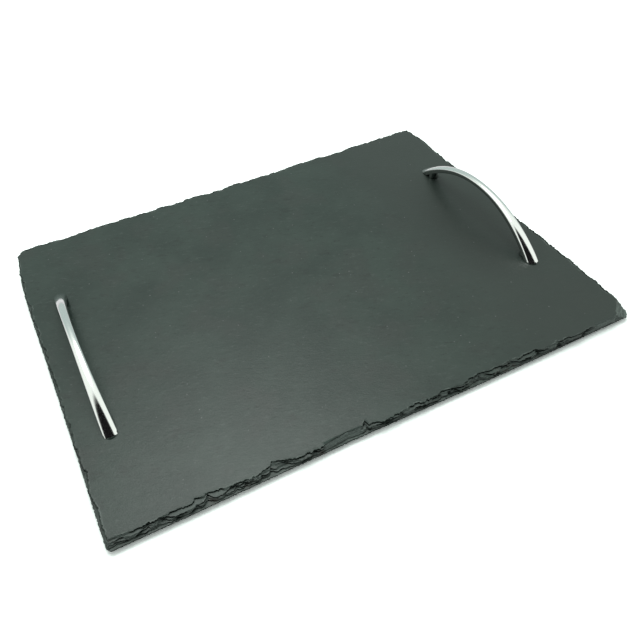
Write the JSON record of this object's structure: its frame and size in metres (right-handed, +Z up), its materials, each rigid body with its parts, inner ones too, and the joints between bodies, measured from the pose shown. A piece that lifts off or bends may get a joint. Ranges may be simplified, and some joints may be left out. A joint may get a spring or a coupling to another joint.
{
  "type": "slate serving board",
  "caption": "Rectangular split-slate serving board with chipped, terraced edges, a chrome bow handle screwed on at each short side, and rubber pads underneath.",
  "frame": {"origin": "on the table, under the middle of the board", "axes": "+X along the board from the left handle to the right one, +Y across the board away from the viewer, +Z up"},
  "size_m": [0.4, 0.3, 0.0382],
  "materials": {
    "slate": "riven, lightly oiled satin",
    "handle_chrome": "polished chrome plate",
    "screw_steel": "zinc-plated steel",
    "washer_steel": "zinc-plated steel",
    "foot_rubber": "matte black rubber"
  },
  "bodies": {
    "root": {"slate_board": "slate", "left_handle": "handle_chrome", "right_handle": "handle_chrome", "front_left_screw": "screw_steel", "back_left_screw": "screw_steel", "front_right_screw": "screw_steel", "back_right_screw": "screw_steel", "front_left_washer": "washer_steel", "back_left_washer": "washer_steel", "front_right_washer": "washer_steel", "back_right_washer": "washer_steel", "front_left_foot": "foot_rubber", "back_left_foot": "foot_rubber", "front_right_foot": "foot_rubber", "back_right_foot": "foot_rubber"}
  },
  "joints": []
}
